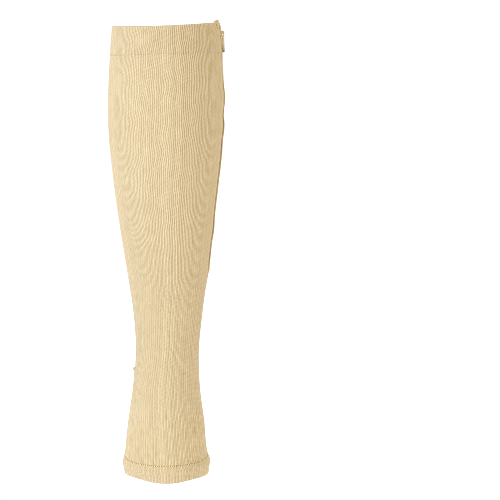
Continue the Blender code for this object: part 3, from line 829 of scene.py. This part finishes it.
def zip_stop(name, frames, sizes, material):
    """A rounded clamp: the superellipsoid |x/a|^n + |y/b|^n + |z/c|^n = 1, with x round the leg, y
    out of it and z up it."""
    place, around, up, out = frames
    a = np.linspace(-np.pi / 2, np.pi / 2, STOP_GRID[0])[:, None]
    b = np.linspace(-np.pi, np.pi, STOP_GRID[1])[None, :]
    cos_a, sin_a, cos_b, sin_b = (squared(wave, STOP_ROUNDNESS)
                                  for wave in (np.cos(a), np.sin(a), np.cos(b), np.sin(b)))
    x = sizes[0] * cos_a * cos_b
    y = sizes[1] * cos_a * sin_b
    z = np.broadcast_to(sizes[2] * sin_a, STOP_GRID)
    faces = grid_faces(np.arange(x.size).reshape(STOP_GRID))
    add_piece(name, laid((place, around, out, up), (x, y, z)), [faces], material, "zip_metal")


def metal_material(name, light, dark, roughness):
    """Baked enamel on zinc: even colour that wears darker in soft spots, under a thin clear coat."""
    material, tree = start_material(name)
    wear = noise(tree, scale=420.0, detail=4.0)
    finish = {"Roughness": roughness, "Metallic": 0.25, "Coat Weight": 0.4, "Coat Roughness": 0.15}
    finish_material(tree, ramp(tree, wear, ((0.3, dark), (0.62, light))), wear, finish, depth=0.02)
    return material


slider_enamel = metal_material("slider_enamel", (0.78, 0.65, 0.46), (0.60, 0.46, 0.29), roughness=0.32)
for side, which in SIDES:
    stop_y = side * (zip_parting(COIL_TOP) + COIL_REACH / 2)
    frames = leg_frames(angle_at(stop_y, COIL_TOP), np.array(COIL_TOP), COIL_MIDDLE)
    zip_stop(f"top_stop_{which}", frames, TOP_STOP, slider_enamel)
frames = leg_frames(np.array(0.0), np.array(COIL_FOOT), COIL_MIDDLE + chain_rise(COIL_FOOT))
zip_stop("bottom_stop", frames, BOTTOM_STOP, slider_enamel)
bar_y = np.linspace(-SLIT_HALF_WIDTH - BAR_OVERHANG, SLIT_HALF_WIDTH + BAR_OVERHANG, BAR_STITCHES)
bar_z = np.full(BAR_STITCHES, SLIT_END_Z - BAR_DROP)
sewn_row("bar_tack", leg_frames(angle_at(bar_y, bar_z), bar_z, RIB_TOP), BAR_STITCH, band_thread,
         "rib_knit", lean=np.pi / 2)

# ---- Lip stitching ----
# A straight row of lockstitch down each side of the slit holds the folded lip and the tape together,
# and two tacks of darker thread catch the outer edge of each tape to the band.

LIP_STITCH = (1.7, 0.45, 0.4)
LIP_STITCH_Y = 5.2
LIP_STITCH_STEP = 2.3
LIP_STITCH_TOP = -1.6
LIP_STITCH_END = 8.0    # below the slit's end
LIP_STITCH_SUNK = 0.1   # into the tops of the ribs
END_TACK = (1.8, 1.0, 0.6)
END_TACKS = np.array(((15.5, -0.7), (12.8, -3.7)))    # distance from the zip's middle, and height

lip_thread = thread_material("lip_thread", (0.62, 0.48, 0.28), (0.46, 0.33, 0.17))
tack_thread = thread_material("tack_thread", (0.30, 0.24, 0.12), (0.20, 0.15, 0.07))
row_z = np.arange(LIP_STITCH_TOP, SLIT_END_Z - LIP_STITCH_END, -LIP_STITCH_STEP)
row_y = slit_half_width(np.maximum(row_z, SLIT_END_Z + SLIT_TAPER)) + LIP_STITCH_Y - SLIT_HALF_WIDTH
lip_share = np.exp(-((LIP_STITCH_Y - SLIT_HALF_WIDTH) / LIP_WIDTH) ** 2)
over_band = np.where(row_z > BAND_SEAM_Z + BAND_SEAM_RISE * LEG_ROWS[1, 1], BAND_PROUD, 0.0)
on_cloth = (RIB_TOP - LIP_STITCH_SUNK) * (1.0 - lip_share) + lip_roll(row_z) * lip_share + over_band
tack_y, tack_z = END_TACKS.T
for side, which in SIDES:
    sewn_row(f"lip_stitches_{which}", leg_frames(angle_at(side * row_y, row_z), row_z, on_cloth),
             LIP_STITCH, lip_thread, "rib_knit", lean=np.pi / 2)
    tack_frames = leg_frames(angle_at(side * tack_y, tack_z), tack_z, RIB_TOP + BAND_PROUD)
    sewn_row(f"end_tack_{which}", tack_frames, END_TACK, tack_thread, "band_knit", lean=np.pi / 2)

# ---- Slider ----
# A small die-cast slider in beige enamel sits at the closed top end: a crowned front plate with side
# rails and a back plate, joined by the post that parts the coils, and a square bail for the tab.

PULL_AXIS_Z = -9.7
# The slider's place and slope follow the leg's first two rows, on the zip's side
slider_x = np.interp(-PULL_AXIS_Z, -LEG_ROWS[:2, 0], LEG_ROWS[:2, 1])
slider_slope = -np.arctan2(LEG_ROWS[1, 1] - LEG_ROWS[0, 1], LEG_ROWS[0, 0] - LEG_ROWS[1, 0])


def on_slider(points):
    """From the slider's own millimetres, x out of the zip and z up it, to the part's frame: a turn
    about +Y by the zip's slope, then a move to the slider's place."""
    cosine = np.cos(slider_slope)
    sine = np.sin(slider_slope)
    x = points[..., 0] * cosine + points[..., 2] * sine + slider_x
    z = points[..., 2] * cosine - points[..., 0] * sine + PULL_AXIS_Z
    return np.stack((x, points[..., 1], z), -1) * MM


# The share of an outline that each ring of a plate takes, and its depth from the back to the front
PLATE_RINGS = np.array(((0.0, 0.0), (0.6, 0.0), (0.9, 0.0), (0.97, 0.08), (1.0, 0.3),
                        (1.0, 0.7), (0.97, 0.92), (0.9, 1.0), (0.6, 1.0), (0.0, 1.0)))
OUTLINE_POINTS = 57


def plate(outline, back, front, crown):
    """A plate from an outline of (y, z): rings of it shrunk to each reach, from the middle of its back
    round its edge to the middle of its front, at x = back + (front - back - crown reach^2) depth."""
    reach, depth = PLATE_RINGS.T
    x = back + (front - back - crown * reach**2) * depth
    middle = (outline.max(axis=0) + outline.min(axis=0)) / 2
    ring = middle + (outline - middle)[None] * reach[:, None, None]
    return np.concatenate((np.broadcast_to(x[:, None, None], (*ring.shape[:2], 1)), ring), -1)


def soft_outline(widths, roundness):
    """A rounded outline of (y, z): a superellipse between the first and last heights of the (z, half
    width) rows, whose half width follows them."""
    heights, half_widths = np.array(widths, float).T
    turn = np.linspace(0.0, 2 * np.pi, OUTLINE_POINTS)
    across = squared(np.cos(turn), roundness)
    up = squared(np.sin(turn), roundness)
    z = (heights[-1] + heights[0]) / 2 + (heights[-1] - heights[0]) / 2 * up
    return np.stack((across * np.interp(z, heights, half_widths), z), -1)


# The share of the way from edge to window of each ring of a pierced plate, and of its half thickness
PIERCED_RINGS = np.array(((0.0, 0.0), (0.008, 0.5), (0.03, 0.85), (0.08, 1.0), (0.5, 1.0), (0.92, 1.0),
                          (0.97, 0.85), (0.992, 0.5)))


def pierced(edge, window, back, front):
    """A flat ring between an edge and a window: a loop goes in over the front and home over the back,
    its corners rounded by PIERCED_RINGS. The back and the front face each lie at their rows of
    (z, distance from the middle)."""
    rings = np.concatenate((PIERCED_RINGS, ((1.0, 0.0),), PIERCED_RINGS[::-1] * (1.0, -1.0)))
    flat = edge[None] + (window - edge)[None] * rings[:, 0, None, None]
    low, high = -np.interp(flat[..., 1], *back.T), np.interp(flat[..., 1], *front.T)
    x = (low + high) / 2 + (high - low) / 2 * rings[:, 1, None]
    return np.concatenate((x[..., None], flat), -1)


def gather(grids):
    """Join closed grids of points into one list of points and one list of face blocks."""
    points = []
    faces = []
    count = 0
    for grid in grids:
        ids = count + np.arange(grid[..., 0].size).reshape(grid.shape[:2])
        points.append(grid.reshape(-1, 3))
        faces.append(grid_faces(ids))
        count += grid[..., 0].size
    return np.concatenate(points), faces


# Inner and outer face of each part, out from the zip
FRONT_PLATE = (1.35, 1.95)
BACK_PLATE = (-3.95, -3.15)
POST = (-3.5, 1.7)
RAILS = (0.0, 1.7)
RAIL_Y = 3.15
PLATE_CROWN = 0.3
BAIL_HALF_WIDTH = 0.8
BAIL_SPREAD = 0.15      # how much wider the bail is at its foot
BAIL_WINDOW_DROP = 0.02
slider_rows = ((-4.3, 2.3), (-3.5, 2.9), (0.4, 3.6), (2.8, 3.6), (4.2, 3.0))
slider_outline = soft_outline(slider_rows, roundness=4.0)
post_outline = soft_outline(((1.6, 0.55), (3.9, 0.55)), roundness=3.0)
rail_outline = soft_outline(((-3.4, 0.26), (1.7, 0.26)), roundness=4.0)
# The bail's edge and window: distance out of the zip, then half the length along it
bail_edge = soft_outline(((1.4, 3.9), (2.4, 3.7), (3.4, 3.4), (4.2, 3.0)), roundness=4.5)
bail_window = soft_outline(((1.9, 0.65), (3.45, 0.65)), roundness=4.5)
bail_window = bail_window - np.array((BAIL_WINDOW_DROP, 0.0))
bail_faces = np.array(((1.4, BAIL_HALF_WIDTH + BAIL_SPREAD), (4.2, BAIL_HALF_WIDTH)))
bail = pierced(bail_edge, bail_window, bail_faces, bail_faces)
rails = [plate(rail_outline + np.array((side * RAIL_Y, 0.0)), *RAILS, 0.0) for side, _ in SIDES]
points, faces = gather([
    plate(slider_outline, *FRONT_PLATE, PLATE_CROWN),
    plate(slider_outline, *BACK_PLATE, 0.0),
    plate(post_outline, *POST, 0.0),
    *rails,
    bail[..., (2, 0, 1)],
])
slider = add_piece("slider_body", on_slider(points), faces, slider_enamel, "zip_metal")
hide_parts("zip_slider")

# ---- Pull tab ----
# A flat enamelled tab hangs from the bail by the bar above its window. It swells towards its lower
# end into a grip, which is painted a darker brown there: painted shade and dark reflection on the metal.

PULL_AXIS_X = 54.1
TAB_LENGTH = 16.5
TAB_BAR = 0.32
# Height from the bar's middle, then how far each face lies from it: the inner one lies along the coil
TAB_INNER = np.array(((-TAB_LENGTH, 0.85), (-12.6, 0.9), (-10.6, 0.95), (-4.0, 0.95), (-1.0, 0.55),
                      (-TAB_BAR, 0.3), (TAB_BAR, 0.3)))
TAB_OUTER = np.array(((-TAB_LENGTH, 1.5), (-12.6, 1.4), (-10.6, 1.3), (-8.0, 1.2), (-3.5, 1.15),
                      (-1.2, 0.65), (-TAB_BAR, 0.3), (TAB_BAR, 0.3)))
# The tab is painted darker between these heights as painted shade and dark reflection; above them is the
# plain enamel.
TAB_SHADE_HEIGHTS = (-26.2, -17.0)       # heights of the tab's lower end and of the sound enamel
# Share of the way between them, then how much of the enamel's colour is left under the painted shade
TAB_SHADE_COLOURS = ((0.0, (0.22, 0.20, 0.09)), (0.12, (0.27, 0.24, 0.11)), (0.3, (0.62, 0.60, 0.46)),
                (1.0, (1.0, 1.0, 1.0)))

tab_edge = soft_outline(((-TAB_LENGTH, 2.6), (-8.0, 2.55), (TAB_BAR, 2.0)), roundness=6.0)
tab_window = soft_outline(((-3.8, 1.15), (-TAB_BAR, 1.15)), roundness=5.0)
tab = pierced(tab_edge, tab_window, TAB_INNER, TAB_OUTER)
tab = (tab + np.array((PULL_AXIS_X, 0.0, PULL_AXIS_Z))) * MM


def tab_material():
    """The slider's enamel, painted lighter than on the slider against the shade on the tab's inner face,
    and painted dark brown towards the tab's lower end as painted shade and dark reflection.
    """
    # Its enamel is a lighter copy of the slider's, a painted lift against the shade on the tab's inner
    # face.
    material = metal_material("tab_enamel", (0.86, 0.73, 0.55), (0.73, 0.60, 0.43), roughness=0.3)
    tree = material.node_tree
    base = tree.nodes["Principled BSDF"].inputs["Base Color"]
    enamel = base.links[0].from_socket
    worn = ramp(tree, share_up(tree, *TAB_SHADE_HEIGHTS), TAB_SHADE_COLOURS)
    tree.links.new(times(tree, enamel, worn), base)
    return material


pull_tab = add_piece("pull_tab", *gather([tab]), tab_material(), "zip_metal", body="pull")
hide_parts("zip_pull")

# ---- Floor, light and camera ----
# The stocking is shown by itself in an even white studio: a pale floor well below it, a large cool
# soft box on the outer side of the leg, a small cool one low on its inner side, and a warm even
# light all round.

FLOOR_Z = -0.9
FLOOR_HALF = 6.0
WHITE = (1.0, 1.0, 1.0, 1.0)
BACKDROP_GLOW = 1.05

floor_mesh = bpy.data.meshes.new("floor")
corners = [(x * FLOOR_HALF, y * FLOOR_HALF, FLOOR_Z) for x, y in ((-1, -1), (1, -1), (1, 1), (-1, 1))]
floor_mesh.from_pydata(corners, [], [(0, 1, 2, 3)])
floor = bpy.data.objects.new("floor", floor_mesh)
bpy.context.scene.collection.objects.link(floor)
floor_paint, floor_tree = start_material("floor_paint")
floor_shader = floor_tree.nodes["Principled BSDF"]
floor_shader.inputs["Base Color"].default_value = (0.92, 0.90, 0.87, 1.0)
floor_shader.inputs["Roughness"].default_value = 0.9
seen = add_node(floor_tree, "ShaderNodeLightPath").outputs["Is Camera Ray"]
white = add_node(floor_tree, "ShaderNodeEmission", {"Color": WHITE, "Strength": BACKDROP_GLOW})
either = add_node(floor_tree, "ShaderNodeMixShader",
                  {0: seen, 1: floor_shader.outputs[0], 2: white.outputs[0]})
floor_tree.links.new(either.outputs[0], floor_tree.nodes["Material Output"].inputs["Surface"])
floor_mesh.materials.append(floor_paint)

OBJECT_CENTRE = Vector((0.0, 0.0, -0.21))


def soft_box(name, place, width, height, power, colour):
    """An area light aimed at the stocking's middle."""
    data = bpy.data.lights.new(name, "AREA")
    data.shape = "RECTANGLE"
    data.size = width
    data.size_y = height
    data.energy = power
    data.color = colour
    light = bpy.data.objects.new(name, data)
    light.location = place
    light.rotation_euler = (OBJECT_CENTRE - Vector(place)).to_track_quat("-Z", "Y").to_euler()
    bpy.context.scene.collection.objects.link(light)


soft_box("outer_side_light", (-1.62, -1.45, 0.1), width=1.0, height=1.6, power=29.5,
         colour=(0.66, 0.78, 1.0))
soft_box("lower_inner_side_light", (0.5, -0.42, -0.68), width=0.3, height=0.3, power=1.2,
         colour=(0.76, 0.83, 1.0))

world = bpy.data.worlds.new("studio")
bpy.context.scene.world = world
world.use_nodes = True
world_tree = world.node_tree
world_tree.nodes.clear()
seen = add_node(world_tree, "ShaderNodeLightPath").outputs["Is Camera Ray"]
glow = add_node(world_tree, "ShaderNodeBackground", {"Color": (1.0, 0.895, 0.72, 1.0), "Strength": 0.88})
white = add_node(world_tree, "ShaderNodeBackground", {"Color": WHITE, "Strength": BACKDROP_GLOW})
either = add_node(world_tree, "ShaderNodeMixShader", {0: seen, 1: glow.outputs[0], 2: white.outputs[0]})
add_node(world_tree, "ShaderNodeOutputWorld", {"Surface": either.outputs[0]})
bpy.context.scene.view_settings.view_transform = "Standard"
bpy.context.scene.cycles.filter_width = 0.8

CAMERA_PLACE = Vector((0.0793, -1.65, 0.0))
CAMERA_AIM = Vector((0.0793, 0.0, -0.2129))
camera_data = bpy.data.cameras.new("camera")
camera_data.lens = 126.0
camera_data.sensor_width = 36.0
camera = bpy.data.objects.new("camera", camera_data)
camera.location = CAMERA_PLACE
camera.rotation_euler = (CAMERA_AIM - CAMERA_PLACE).to_track_quat("-Z", "Y").to_euler()
bpy.context.scene.collection.objects.link(camera)
bpy.context.scene.camera = camera
